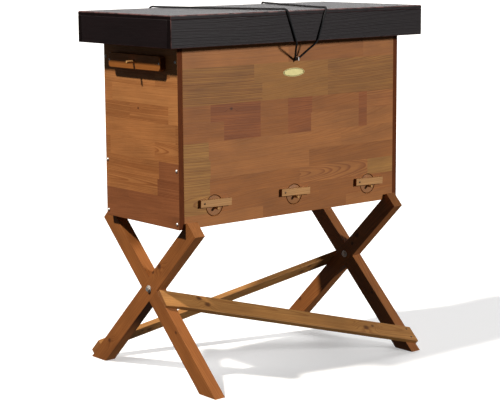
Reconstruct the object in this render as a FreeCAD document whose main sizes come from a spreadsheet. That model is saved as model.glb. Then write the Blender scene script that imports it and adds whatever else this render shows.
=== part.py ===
"""Top bar hive on a crossed-leg stand, with a telescoping roof held down by an elastic cord.

Frame: +Z up, X along the hive, -Y is the entrance side.
The origin lies on the ground under the middle of the stand.
"""
import FreeCAD, Part
import math
import os
import Sketcher

V = FreeCAD.Vector
doc = FreeCAD.newDocument("top_bar_hive")

# ---------------------------------------------------------------- driving dimensions
sheet = doc.addObject("Spreadsheet::Sheet", "Dims")
SIZES = [
    # hive box: long walls held between two end panels
    ("box_length", 850), ("box_depth", 354), ("board", 18), ("wall_height", 546),
    ("floor_lift", 6), ("floor_thick", 18),
    # top bars and follower boards
    ("bar_wide", 35), ("bar_thick", 22), ("bar_overhang", 18), ("bar_gap", 0.4),
    ("ridge_deep", 8), ("ridge_wide", 16), ("follower_thick", 15), ("follower_gap", 2),
    ("follower_spread", 496),
    # roof
    ("roof_skirt", 78), ("roof_board", 18), ("roof_top", 12), ("roof_drop", 36),
    ("over_end", 55), ("over_side", 48), ("cleat_wide", 40), ("roof_round", 4),
    # stand
    ("stand_height", 463), ("leg_wide", 35), ("leg_deep", 51), ("leg_angle", 44.3),
    ("crossing_drop", 199), ("frame_inset", 19), ("tip_reach", 288), ("seat_gap", 0.5),
    ("rail_thick", 15), ("rail_wide", 50), ("rail_start", 32), ("front_rail_lift", 25),
    ("back_rail_lift", 15), ("rail_bevel", 8), ("rail_bevel_run", 58), ("rail_screw_edge", 10),
    ("bevel_screw_down", 41), ("bevel_screw_deep", 3.36),
    ("bolt_round", 8), ("bolt_gap", 0.2), ("bolt_head", 13), ("head_thick", 5.3),
    ("washer_round", 22), ("washer_thick", 1.6), ("nut_thick", 6.5), ("bolt_tail", 3),
    # entrances: a stepped bore, a turned plug, its peg and the latch bar over it
    ("entrance_pitch", 300), ("entrance_height", 57.5), ("entrance_bore", 50),
    ("recess_bore", 62), ("recess_deep", 10), ("plug_head", 58), ("plug_gap", 0.2),
    ("peg_round", 8), ("peg_out", 20), ("peg_sunk", 14), ("latch_rest", 0.2),
    ("latch_length", 111), ("latch_high", 21), ("latch_thick", 10), ("latch_gap", 0.3),
    ("latch_pivot_inset", 13.5), ("latch_rise", 10.1), ("latch_droop", 1.85),
    ("pivot_round", 4), ("pivot_gap", 0.1),
    # carrying battens on the end panels
    ("batten_length", 250), ("batten_high", 43), ("batten_thick", 20), ("batten_round", 10),
    ("batten_height", 462.5), ("batten_screw_inset", 6), ("batten_peg_out", 25),
    # panel screws
    ("screw_head", 9.5), ("screw_dome", 3.5), ("screw_round", 4), ("screw_length", 45),
    ("small_head", 6.5), ("small_dome", 1.2),
    ("short_screw", 28), ("screw_low", 16), ("screw_mid", 166), ("screw_high", 469),
    # elastic cord, its hook and eyes
    ("cord_round", 6), ("cord_gap", 0.6), ("hook_height", 462), ("hook_side", 6),
    ("hook_round", 4.6), ("hook_out", 10), ("hook_bend", 4), ("hook_tip", 6),
    ("hook_collar", 9), ("collar_thick", 1.2), ("thread_deep", 14), ("eye_side", 262), ("eye_height", 452),
    ("eye_inner", 12), ("eye_wire", 3.4), ("eye_neck", 6), ("knot_round", 16), ("knot_drop", 4),
    ("strand_lean", 0.5), ("slant_share", 1.36), ("knot_lip", 0.5),
    ("cord_spread_low", 40.5), ("cord_spread_high", 76), ("cord_spread_back", 220),
    # nameplate
    ("plate_long", 82), ("plate_high", 25), ("plate_thick", 1.2), ("plate_height", 418),
    ("nail_head", 3), ("nail_inset", 5), ("nail_round", 1.2), ("nail_length", 8), ("nail_dome", 0.9),
]
value = {}
nodes = []


def set_cell(alias, number):
    """Put one named size on the next row of the sheet."""
    row = len(value) + 1
    sheet.set("A%d" % row, alias)
    sheet.set("B%d" % row, repr(float(number)))
    sheet.setAlias("B%d" % row, alias)
    value[alias] = float(number)


def work_out_rails():
    """Where each rail's low end meets the far leg, measured down the leg from the crossing.

    A rail's sawn end stops a set distance short of the foot; the steeper the rail runs,
    the taller that sawn end is.
    """
    lean = math.radians(value["leg_angle"])
    drop = value["stand_height"] - value["crossing_drop"]
    face_reach = (drop + value["leg_deep"] / 2 * math.cos(lean)) / math.sin(lean)
    span = value["box_length"] - 2 * value["frame_inset"]
    for side in ("front", "back"):
        end = face_reach - value[side + "_rail_lift"] - value["rail_wide"]
        for _ in range(20):
            sawn = value["rail_wide"] * math.hypot(1, (end - value["rail_start"]) / span)
            end = face_reach - value[side + "_rail_lift"] - sawn
        set_cell(side + "_rail_end", round(end, 4))
        set_cell(side + "_rail_sawn", round(sawn, 4))


for alias, number in SIZES:
    set_cell(alias, number)
work_out_rails()
doc.recompute()


def dim(words):
    """Turn an expression in plain dimension names into one on the sheet's cells."""
    out = []
    for word in words.replace("(", " ( ").replace(")", " ) ").split():
        out.append("Dims." + word if word in value else word)
    return " ".join(out)


def size(words):
    """Work out the same expression as a number."""
    return float(reckon(words))


def reckon(words):
    """Add, subtract, multiply and divide named dimensions, left to right inside brackets."""
    tokens = words.replace("(", " ( ").replace(")", " ) ").split()

    def atom():
        word = tokens.pop(0)
        if word == "-":
            return -atom()
        if word == "(":
            inner = total()
            tokens.pop(0)
            return inner
        return value[word] if word in value else float(word)

    def product():
        result = atom()
        while tokens and tokens[0] in "*/":
            if tokens.pop(0) == "*":
                result *= atom()
            else:
                result /= atom()
        return result

    def total():
        result = product()
        while tokens and tokens[0] in "+-":
            if tokens.pop(0) == "+":
                result += product()
            else:
                result -= product()
        return result

    return total()


def bind(thing, **expressions):
    """Bind properties of an object to the sheet."""
    for name, words in expressions.items():
        thing.setExpression(name, dim(words))


def bind_place(thing, x="0", y="0", z="0"):
    """Bind an object's position to the sheet."""
    for axis, words in (("x", x), ("y", y), ("z", z)):
        thing.setExpression("Placement.Base." + axis, dim(words))


def keep(thing, label):
    """Name a finished piece and put it on the list of nodes."""
    thing.Label = label
    nodes.append(thing)
    return thing


def origin_plane(body, role):
    """Find one of a body's own origin planes."""
    for feature in body.Origin.OriginFeatures:
        if feature.Role == role:
            return feature
    raise ValueError(role)


def new_sketch(body, role, name):
    """Add a sketch on one of the body's origin planes."""
    sketch = body.newObject("Sketcher::SketchObject", name)
    sketch.AttachmentSupport = [(origin_plane(body, role), "")]
    sketch.MapMode = "FlatFace"
    return sketch


def polygon(sketch, corners):
    """Draw a closed outline whose corners are bound to expressions, two for each corner."""
    points = [V(size(a), size(b), 0) for a, b in corners]
    for index, start in enumerate(points):
        end = points[(index + 1) % len(points)]
        sketch.addGeometry(Part.LineSegment(start, end), False)
    for index in range(len(points)):
        sketch.addConstraint(
            Sketcher.Constraint("Coincident", index, 2, (index + 1) % len(points), 1))
    for index, (across, up) in enumerate(corners):
        for kind, words in (("DistanceX", across), ("DistanceY", up)):
            number = sketch.addConstraint(
                Sketcher.Constraint(kind, -1, 1, index, 1, size(words)))
            sketch.setExpression("Constraints[%d]" % number, dim(words))


def prism(name, role, corners, depth, middle=False):
    """Make a body by padding one outline."""
    body = doc.addObject("PartDesign::Body", name)
    sketch = new_sketch(body, role, name + "_outline")
    polygon(sketch, corners)
    pad = body.newObject("PartDesign::Pad", name + "_pad")
    pad.Profile = sketch
    pad.Midplane = middle
    pad.setExpression("Length", dim(depth))
    sketch.Visibility = False
    return body


def board(name, along_x, along_y, along_z):
    """Make a plain board centred on its own X and Y, standing on its own Z = 0."""
    half_x, half_y = "( %s ) / 2" % along_x, "( %s ) / 2" % along_y
    corners = [("- " + half_x, "- " + half_y), (half_x, "- " + half_y),
               (half_x, half_y), ("- " + half_x, half_y)]
    return prism(name, "XY_Plane", corners, along_z)


def rod(name, axis, diameter, length):
    """Make a plain round bar from its own origin along an axis."""
    bar = doc.addObject("Part::Cylinder", name)
    bind(bar, Radius="( %s ) / 2" % diameter, Height=length)
    bar.Placement.Rotation = FreeCAD.Rotation(V(0, 0, 1), axis)
    return bar


def cut(label, base, tools):
    """Cut one or more tools out of a base."""
    result = doc.addObject("Part::Cut", label)
    result.Base = base
    if len(tools) == 1:
        result.Tool = tools[0]
    else:
        joined = doc.addObject("Part::MultiFuse", label + "_tools")
        joined.Shapes = tools
        result.Tool = joined
    return result


def copies(label, pattern, places):
    """Make one node of identical separate solids, one at each place."""
    solids = []
    for place in places:
        solid = pattern.copy()
        solid.Placement = place.multiply(pattern.Placement)
        solids.append(solid)
    group = doc.addObject("Part::Feature", label)
    group.Shape = Part.makeCompound(solids)
    return keep(group, label)


def turned(profile):
    """Turn a profile of (radius, height) points into a solid round the Z axis."""
    points = [V(radius, 0, height) for radius, height in profile]
    face = Part.Face(Part.makePolygon(points + [points[0]]))
    return face.revolve(V(0, 0, 0), V(0, 0, 1), 360)


def at(x, y, z, rotation=FreeCAD.Rotation()):
    """A placement from plain numbers."""
    return FreeCAD.Placement(V(x, y, z), rotation)


# ---------------------------------------------------------------- sizes used by several pieces
INNER_LENGTH = "box_length - 2 * board"
INNER_DEPTH = "box_depth - 2 * board"
WALL_TOP = "stand_height + wall_height"
BAR_TOP = WALL_TOP + " + bar_thick"
SKIRT_LOW = WALL_TOP + " - roof_drop"
ROOF_LENGTH = "box_length + 2 * over_end"
ROOF_DEPTH = "box_depth + 2 * over_side"
half_length = value["box_length"] / 2
half_depth = value["box_depth"] / 2
base_z = value["stand_height"]
angle = math.radians(value["leg_angle"])
SIDES = (("left", -1), ("right", 1))


# ---------------------------------------------------------------- hive box
def make_walls():
    """Front wall with its stepped entrance bores, back wall, end panels and floor."""
    bores = []
    for index in (-1, 0, 1):
        for tag, diameter, start, deep in (
                ("bore", "entrance_bore", "- box_depth / 2 - 1", "board + 2"),
                ("recess", "recess_bore", "- box_depth / 2 - 1", "recess_deep + 1")):
            tool = rod("entrance_%s_%d" % (tag, index + 1), V(0, 1, 0), diameter, deep)
            bind_place(tool, "%d * entrance_pitch" % index, start,
                       "stand_height + entrance_height")
            bores.append(tool)
    blank = board("front_blank", INNER_LENGTH, "board", "wall_height")
    bind_place(blank, "0", "- box_depth / 2 + board / 2", "stand_height")
    keep(cut("front_wall", blank, bores), "front_wall")
    back = keep(board("back_wall", INNER_LENGTH, "board", "wall_height"), "back_wall")
    bind_place(back, "0", "box_depth / 2 - board / 2", "stand_height")
    for side, sign in SIDES:
        name = side + "_end_panel"
        panel = keep(board(name, "board", "box_depth", "wall_height + bar_thick"), name)
        bind_place(panel, "%d * ( box_length / 2 - board / 2 )" % sign, "0", "stand_height")
    floor = keep(board("floor_board", INNER_LENGTH, INNER_DEPTH, "floor_thick"), "floor_board")
    bind_place(floor, "0", "0", "stand_height + floor_lift")


def make_bars():
    """Top bars with a comb ridge, side by side between the end panels."""
    pitch = value["bar_wide"] + value["bar_gap"]
    inner = size(INNER_LENGTH)
    count = int(inner // pitch)
    half_ridge = "ridge_wide / 2"
    # The ridge stops short of the walls that the bar's ends rest on.
    plain = board("bar_pattern", "bar_wide", "box_depth + 2 * bar_overhang", "bar_thick")
    ridge = prism("ridge_pattern", "XZ_Plane",
                  [("- " + half_ridge, "0"), ("0", "- ridge_deep"), (half_ridge, "0")],
                  INNER_DEPTH + " - 2 * follower_gap", middle=True)
    bar = doc.addObject("Part::Fuse", "bar_with_ridge")
    bar.Base = plain
    bar.Tool = ridge
    doc.recompute()
    followers = []
    places = []
    start = -(count - 1) * pitch / 2
    for index in range(count):
        places.append(at(start + index * pitch, 0, size(WALL_TOP)))
    near = [min(range(count), key=lambda i: abs(start + i * pitch - sign * value["follower_spread"] / 2))
            for sign in (-1, 1)]
    for sign, index in zip((-1, 1), near):
        followers.append((sign, start + index * pitch))
    ridged = [place for index, place in enumerate(places) if index not in near]
    copies("top_bars", bar.Shape, ridged)
    copies("follower_bars", plain.Shape, [places[index] for index in near])
    for (side, sign), (_, middle) in zip(SIDES, followers):
        name = side + "_follower_board"
        face = keep(board(name, "follower_thick", INNER_DEPTH + " - 2 * follower_gap",
                          "wall_height - floor_lift - floor_thick - follower_gap"), name)
        bind_place(face, str(round(middle, 4)), "0",
                   "stand_height + floor_lift + floor_thick + follower_gap")


# ---------------------------------------------------------------- roof
def make_roof():
    """Top board, four skirt boards and the two cleats that bear on the bars."""
    top = board("roof_top_blank", ROOF_LENGTH, ROOF_DEPTH, "roof_top")
    bind_place(top, "0", "0", SKIRT_LOW + " + roof_skirt")
    doc.recompute()
    rounded = doc.addObject("Part::Fillet", "roof_top_board")
    rounded.Base = top
    high = top.Shape.BoundBox.ZMax
    radius = min(value["roof_round"], value["roof_top"] / 3)
    rounded.Edges = [(number + 1, radius, radius) for number, edge in enumerate(top.Shape.Edges)
                     if edge.BoundBox.ZMin > high - 0.01]
    keep(rounded, "roof_top_board")
    for name, sign in (("roof_front_board", -1), ("roof_back_board", 1)):
        skirt = keep(board(name, ROOF_LENGTH, "roof_board", "roof_skirt"), name)
        bind_place(skirt, "0", "%d * ( ( %s ) / 2 - roof_board / 2 )" % (sign, ROOF_DEPTH),
                   SKIRT_LOW)
    for side, sign in SIDES:
        name = "roof_%s_board" % side
        skirt = keep(board(name, "roof_board", ROOF_DEPTH + " - 2 * roof_board",
                           "roof_skirt"), name)
        bind_place(skirt, "%d * ( ( %s ) / 2 - roof_board / 2 )" % (sign, ROOF_LENGTH), "0",
                   SKIRT_LOW)
    for name, sign in (("roof_front_cleat", -1), ("roof_back_cleat", 1)):
        cleat = keep(board(name, ROOF_LENGTH + " - 2 * roof_board", "cleat_wide",
                           "roof_skirt - roof_drop - bar_thick"), name)
        bind_place(cleat, "0",
                   "%d * ( ( %s ) / 2 - roof_board - cleat_wide / 2 )" % (sign, ROOF_DEPTH),
                   BAR_TOP)


# ---------------------------------------------------------------- stand
def leg_stick(name, lean, frame_x, across=None):
    """A leg's plain stick, leaning towards -Y (lean -1) or +Y (lean 1) at its top.

    across gives the half of its width that a halving cut takes, or None for the whole.
    """
    below = "stand_height * 1.6"
    shift = "0"
    wide = "leg_wide"
    if across is not None:
        wide = "leg_wide / 2"
        shift = "%d * leg_wide / 4" % across
    stick = prism(name, "YZ_Plane",
                  [("- " + below, "- leg_deep / 2"), ("tip_reach", "- leg_deep / 2"),
                   ("tip_reach", "leg_deep / 2"), ("- " + below, "leg_deep / 2")],
                  wide, middle=True)
    turn = value["leg_angle"] if lean > 0 else 180 - value["leg_angle"]
    stick.Placement = at(0, 0, 0, FreeCAD.Rotation(V(1, 0, 0), turn))
    bind_place(stick, frame_x + " + " + shift, "0", "stand_height - crossing_drop")
    return stick


def make_stand():
    """Two crossed-leg frames, halved into each other, and the rails between them."""
    ground = board("ground_block", "3 * box_length", "8 * box_depth", "2 * stand_height")
    bind_place(ground, "0", "0", "- 2 * stand_height")
    seat = board("seat_block", "2 * box_length", "box_depth + 2 * seat_gap", "wall_height")
    bind_place(seat, "0", "0", "stand_height")
    for side, sign in SIDES:
        middle = "%d * ( box_length / 2 - frame_inset - leg_wide / 2 )" % sign
        hole = rod(side + "_bolt_hole", V(1, 0, 0), "bolt_round + 2 * bolt_gap", "3 * leg_wide")
        bind_place(hole, middle + " - 1.5 * leg_wide", "0", "stand_height - crossing_drop")
        # The leg whose top is at the front keeps its -X half at the halving.
        for end, lean, other_half in (("front", -1, 1), ("back", 1, -1)):
            name = "%s_%s_top_leg" % (side, end)
            stick = leg_stick(name + "_stick", lean, middle)
            halving = leg_stick(name + "_halving", -lean, middle, across=other_half)
            keep(cut(name, stick, [ground, seat, halving, hole]), name)


def rail_corners(side):
    """A rail's outline on the legs' upper faces: X across, distance up the leg above.

    Its ends are cut flush with the frames' outer faces.
    """
    edge = "box_length / 2 - frame_inset"
    end, sawn = side + "_rail_end", side + "_rail_sawn"
    return [("- ( %s )" % edge, "- rail_start"),
            ("- ( %s )" % edge, "- rail_start - " + sawn),
            (edge, "- %s - %s" % (end, sawn)),
            (edge, "- " + end)]


def make_rails():
    """The two slanting rails, each from just under one crossing to the far foot."""
    for side, yaw in (("front", 0), ("back", 180)):
        name = side + "_rail"
        rail = prism(name + "_blank", "XY_Plane", rail_corners(side), "rail_thick")
        rotation = FreeCAD.Rotation(yaw, 0, value["leg_angle"])
        offset = rotation.multVec(V(0, 0, value["leg_deep"] / 2))
        crossing = base_z - value["crossing_drop"]
        rail.Placement = at(0, offset.y, crossing + offset.z, rotation)
        keep(cut(name, rail, [bevel_wedge(name, rotation, offset, crossing)]), name)


def bevel_wedge(name, rotation, offset, crossing):
    """The wedge planed off a rail's upper end, so that the screw there sits square."""
    reach = half_length - value["frame_inset"]
    top = -value["rail_start"]
    low = top - value["rail_wide"] * 1.35
    thick = value["rail_thick"]
    far = 4
    run = value["rail_bevel_run"]
    corner = V(-reach - far, top + far, thick + 0.01)
    foot = V(-reach + run, low, thick + 0.01)
    deep = V(-reach - far, low, thick - value["rail_bevel"])
    over = V(-reach - far, low, thick + 30)
    faces = [Part.Face(Part.makePolygon(list(loop) + [loop[0]])) for loop in (
        (corner, foot, deep), (corner, over, foot), (corner, deep, over), (foot, over, deep))]
    wedge = doc.addObject("Part::Feature", name + "_bevel")
    wedge.Shape = Part.Solid(Part.Shell(faces))
    wedge.Placement = at(0, offset.y, crossing + offset.z, rotation)
    return wedge


def make_bolts():
    """One bolt through each crossing, with its washers and nut."""
    leg = value["leg_wide"]
    washer = value["washer_thick"]
    radius = value["bolt_round"] / 2
    nut = value["nut_thick"]
    crossing = base_z - value["crossing_drop"]
    hexagon = Part.makePolygon([
        V(0, value["bolt_head"] / math.sqrt(3) * math.cos(math.radians(60 * i)),
          value["bolt_head"] / math.sqrt(3) * math.sin(math.radians(60 * i))) for i in range(7)])
    head = Part.Face(hexagon).extrude(V(-value["head_thick"], 0, 0))
    shank = Part.makeCylinder(radius, leg + 2 * washer + nut + value["bolt_tail"], V(0, 0, 0), V(1, 0, 0))
    bore = Part.makeCylinder(radius, nut, V(0, 0, 0), V(1, 0, 0))
    nut_solid = Part.Face(hexagon).extrude(V(nut, 0, 0)).cut(bore)
    ring = Part.makeCylinder(value["washer_round"] / 2, washer, V(0, 0, 0), V(1, 0, 0))
    hole = Part.makeCylinder(radius + value["bolt_gap"], washer, V(0, 0, 0), V(1, 0, 0))
    starts = []
    for _, sign in SIDES:
        middle = sign * (half_length - value["frame_inset"] - leg / 2)
        starts.append(middle - leg / 2)
    copies("crossing_bolts", head.fuse(shank),
           [at(x - washer, 0, crossing) for x in starts])
    copies("bolt_nuts", nut_solid, [at(x + leg + washer, 0, crossing) for x in starts])
    copies("bolt_washers", ring.cut(hole),
           [at(x + shift, 0, crossing) for x in starts for shift in (-washer, leg)])


def make_rail_screws(pattern):
    """Two screws at the low end of each rail and one at its high end."""
    reach = half_length - value["frame_inset"]
    crossing = base_z - value["crossing_drop"]
    inset = value["leg_wide"] / 2
    places = []
    for end, yaw in (("front_rail_end", 0), ("back_rail_end", 180)):
        rotation = FreeCAD.Rotation(yaw, 0, value["leg_angle"])
        lift = value["leg_deep"] / 2 + value["rail_thick"]
        frame = at(0, 0, crossing, rotation)
        # Inward of its sawn end the rail lies a little higher up the leg.
        rise = inset * (value[end] - value["rail_start"]) / (2 * reach)
        edge = value["rail_screw_edge"]
        for down in (edge - rise, value["rail_wide"] - edge - rise):
            places.append(frame.multiply(at(reach - inset, -value[end] - down, lift)))
        # The upper end's screw sits low on the planed bevel.
        places.append(frame.multiply(at(-reach + inset, -value["rail_start"] - value["bevel_screw_down"],
                                        lift - value["bevel_screw_deep"])))
    copies("rail_screws", pattern, places)


# ---------------------------------------------------------------- fastenings
def wood_screw(length, kind):
    """A wood screw whose domed head sits on Z = 0, head upwards; kind is screw or small."""
    head, dome, shank = value[kind + "_head"] / 2, value[kind + "_dome"], value["screw_round"] / 2
    sphere = (head * head + dome * dome) / (2 * dome)
    steps = 6
    full = math.asin(min(1.0, head / sphere))
    profile = [(0, -length), (shank * 0.3, -length), (shank, -length + 3 * shank), (shank, 0), (head, 0)]
    for step in range(1, steps):
        bend = full * (1 - step / steps)
        profile.append((sphere * math.sin(bend), dome - sphere + sphere * math.cos(bend)))
    profile.append((0, dome))
    return turned(profile)


def make_panel_screws():
    """Three domed screws down each edge of both end panels, into the long walls' ends."""
    pattern = wood_screw(value["screw_length"], "screw")
    places = []
    for _, sign in SIDES:
        rotation = FreeCAD.Rotation(V(0, 0, 1), V(sign, 0, 0))
        for y in (-half_depth + value["board"] / 2, half_depth - value["board"] / 2):
            for height in ("screw_low", "screw_mid", "screw_high"):
                places.append(at(sign * half_length, y, base_z + value[height], rotation))
    copies("panel_screws", pattern, places)


def make_battens():
    """A carrying batten on each end panel, with two screws and a dowel in the middle."""
    pattern = wood_screw(value["short_screw"], "small")
    places = []
    pegs = []
    for side, sign in SIDES:
        name = side + "_carry_batten"
        blank = board(name + "_blank", "batten_thick", "batten_length", "batten_high")
        bind_place(blank, "%d * ( box_length / 2 + batten_thick / 2 )" % sign, "0",
                   "stand_height + batten_height - batten_high / 2")
        doc.recompute()
        batten = doc.addObject("Part::Fillet", name)
        batten.Base = blank
        batten.Edges = [(number + 1, value["batten_round"], value["batten_round"])
                        for number, edge in enumerate(blank.Shape.Edges)
                        if abs(edge.tangentAt(edge.FirstParameter).x) > 0.99]
        keep(batten, name)
        outer = sign * (half_length + value["batten_thick"])
        rotation = FreeCAD.Rotation(V(0, 0, 1), V(sign, 0, 0))
        height = base_z + value["batten_height"]
        for end in (-1, 1):
            y = end * (value["batten_length"] / 2 - value["batten_screw_inset"])
            places.append(at(outer, y, height, rotation))
        pegs.append(at(outer - sign * value["peg_sunk"], 0, height, rotation))
    copies("batten_screws", pattern, places)
    radius = value["peg_round"] / 2
    long = value["peg_sunk"] + value["batten_peg_out"]
    copies("batten_pegs", turned([(0, 0), (radius, 0), (radius, long - 1), (radius - 1, long), (0, long)]),
           pegs)


# ---------------------------------------------------------------- entrances
def make_entrances():
    """For each entrance: a plug in the stepped bore, its peg, and the latch bar above."""
    radius = value["peg_round"] / 2
    front = -half_depth
    outwards = FreeCAD.Rotation(V(0, 0, 1), V(0, -1, 0))
    spigot = value["entrance_bore"] / 2 - value["plug_gap"]
    step = -value["recess_deep"]
    plug = turned([(0, -value["board"]), (spigot - 1, -value["board"]), (spigot, 1 - value["board"]),
                   (spigot, step), (value["plug_head"] / 2, step), (value["plug_head"] / 2, -1),
                   (value["plug_head"] / 2 - 1, 0), (0, 0)])
    peg = turned([(0, -value["peg_sunk"]), (radius, -value["peg_sunk"]), (radius, value["peg_out"] - 1),
                  (radius - 1, value["peg_out"]), (0, value["peg_out"])])
    middle_z = base_z + value["entrance_height"]
    droop = math.radians(value["latch_droop"])
    pivot_run = value["latch_length"] / 2 - value["latch_pivot_inset"]
    pivot_z = middle_z + value["latch_rise"]
    # Underside of the drooping bar above the plug's middle.
    under_z = pivot_z - pivot_run * math.tan(droop) - value["latch_high"] / 2 / math.cos(droop)
    peg_z = under_z - radius - value["latch_rest"]
    names = ("left", "middle", "right")
    for index, name in enumerate(names):
        x = (index - 1) * value["entrance_pitch"]
        piece = doc.addObject("Part::Feature", name + "_plug")
        piece.Shape = plug
        piece.Placement = at(x, front, middle_z, outwards)
        keep(piece, name + "_plug")
    copies("plug_pegs", peg, [at((i - 1) * value["entrance_pitch"], front, peg_z, outwards)
                              for i in range(3)])
    screw = wood_screw(value["short_screw"], "small")
    lift = value["latch_gap"] * 2 + value["latch_thick"]
    pivots = []
    for index, name in enumerate(names):
        x = (index - 1) * value["entrance_pitch"] - pivot_run
        bar = prism(name + "_latch_blank", "XZ_Plane",
                    [("- latch_pivot_inset", "- latch_high / 2"),
                     ("latch_length - latch_pivot_inset", "- latch_high / 2"),
                     ("latch_length - latch_pivot_inset", "latch_high / 2"),
                     ("- latch_pivot_inset", "latch_high / 2")], "latch_thick")
        bar.Placement = at(x, front - value["latch_gap"], pivot_z,
                           FreeCAD.Rotation(V(0, 1, 0), value["latch_droop"]))
        hole = rod(name + "_latch_hole", V(0, -1, 0), "pivot_round + 2 * pivot_gap",
                   "latch_thick + 2 * latch_gap + 2")
        hole.Placement.Base = V(x, front + 1, pivot_z)
        keep(cut(name + "_latch_bar", bar, [hole]), name + "_latch_bar")
        pivots.append(at(x, front - lift, pivot_z, outwards))
    copies("latch_screws", screw, pivots)


# ---------------------------------------------------------------- hook, eyes and cord
def tube(points, radii, diameter):
    """A round tube along straight runs joined by tangent arcs.

    Returns the solid, the path's length and the arcs' radii.
    """
    edges = []
    here = points[0]
    used = []
    for index in range(1, len(points) - 1):
        before, corner, after = points[index - 1], points[index], points[index + 1]
        back = (before - corner).normalize()
        ahead = (after - corner).normalize()
        turn = math.pi - back.getAngle(ahead)
        radius = radii[index - 1]
        trim = radius * math.tan(turn / 2)
        first, last = corner + back * trim, corner + ahead * trim
        bisector = (back + ahead).normalize()
        middle = corner + bisector * (radius / math.cos(turn / 2) - radius)
        edges.append(Part.LineSegment(here, first).toShape())
        edges.append(Part.Arc(first, middle, last).toShape())
        used.append(radius)
        here = last
    edges.append(Part.LineSegment(here, points[-1]).toShape())
    path = Part.Wire(edges)
    profile = Part.Wire(Part.makeCircle(diameter / 2, points[0], points[1] - points[0]))
    solid = path.makePipeShell([profile], True, True)
    return solid, path.Length, used


def make_hook():
    """A screw hook in the front wall, its point turned down over the cord."""
    front = -half_depth
    x, z = value["hook_side"], base_z + value["hook_height"]
    bend = value["hook_bend"]
    solid, _, _ = tube(
        [V(x, front + value["thread_deep"], z), V(x, front - value["hook_out"] - bend, z),
         V(x, front - value["hook_out"] - bend, z - bend - value["hook_tip"])],
        [bend], value["hook_round"])
    collar = Part.makeCylinder(value["hook_collar"] / 2, value["collar_thick"],
                               V(x, front, z), V(0, -1, 0))
    hook = doc.addObject("Part::Feature", "front_hook")
    hook.Shape = solid.fuse(collar).removeSplitter()
    keep(hook, "front_hook")


def eye_middle(sign):
    """The middle of a screw eye's ring on the back wall."""
    out = value["eye_neck"] + value["eye_inner"] / 2 + value["eye_wire"]
    return V(sign * value["eye_side"], half_depth + out, base_z + value["eye_height"])


def make_eyes():
    """Two screw eyes in the back wall, their rings level."""
    wire = value["eye_wire"] / 2
    ring_radius = value["eye_inner"] / 2 + wire
    ring = Part.makeTorus(ring_radius, wire, V(0, 0, 0), V(0, 0, 1))
    neck_start = -(value["eye_neck"] + value["eye_inner"] / 2 + value["eye_wire"]) - value["thread_deep"]
    neck = Part.makeCylinder(wire, -neck_start - ring_radius, V(0, neck_start, 0), V(0, 1, 0))
    pattern = ring.fuse(neck)
    copies("back_eyes", pattern, [at(*eye_middle(sign)) for _, sign in SIDES])


def cord_route():
    """The elastic's corners from one eye over the roof, round the hook and back."""
    clear = value["cord_round"] / 2 + value["cord_gap"]
    roof_y = size(ROOF_DEPTH) / 2 + clear
    roof_z = size(SKIRT_LOW) + value["roof_skirt"] + value["roof_top"] + clear
    low_z = size(SKIRT_LOW)
    middle = value["hook_side"]
    hook = V(middle, -half_depth - value["hook_out"] - value["strand_lean"], base_z + value["hook_height"])
    bight = bight_radius()
    lower_front = V(value["cord_spread_low"], -roof_y, 0)
    slope = math.atan2(roof_y + hook.y, low_z - hook.z)
    lower_front.z = low_z - clear * math.tan(slope / 2)
    run = lower_front - V(0, hook.y, hook.z)
    along = V(0, run.y, run.z).normalize()
    # The two strands meet below the hook, where the arc round its shank is drawn.
    opening = math.atan2(value["cord_spread_low"], math.hypot(run.y, run.z))
    for _ in range(20):
        drop = bight / math.sin(opening)
        opening = math.atan2(value["cord_spread_low"], math.hypot(run.y, run.z) + drop)
    meeting = V(middle, hook.y, hook.z) - along * drop
    half = []
    for sign in (-1, 1):
        eye = eye_middle(sign)
        back_slope = math.atan2(roof_y - eye.y, low_z - eye.z)
        back_low_z = low_z - clear * math.tan(back_slope / 2)
        back_spread = value["cord_spread_back"]
        share = (value["eye_side"] - back_spread) / (roof_z - eye.z)
        low_x = back_spread + share * (roof_z - back_low_z)
        strand = [V(sign * value["eye_side"], eye.y, eye.z),
                  V(sign * low_x, roof_y, back_low_z),
                  V(sign * back_spread, roof_y, roof_z),
                  V(middle + sign * value["cord_spread_high"], -roof_y, roof_z),
                  V(middle + sign * value["cord_spread_low"], -roof_y, lower_front.z)]
        half.append(strand)
    left, right = half
    # Each end runs through its eye, down to the knot below the ring.
    for strand in (left, right):
        aim = (strand[0] - strand[1]).normalize()
        strand[0] = strand[0] + aim * (value["eye_wire"] / 2 + value["knot_drop"])
    return left + [meeting] + right[::-1]


def bight_radius():
    """Radius of the elastic's turn round the hook: it lies at a slant to the shank."""
    return (value["hook_round"] / 2 + value["cord_round"] / 2 + value["cord_gap"]) * value["slant_share"]


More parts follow.
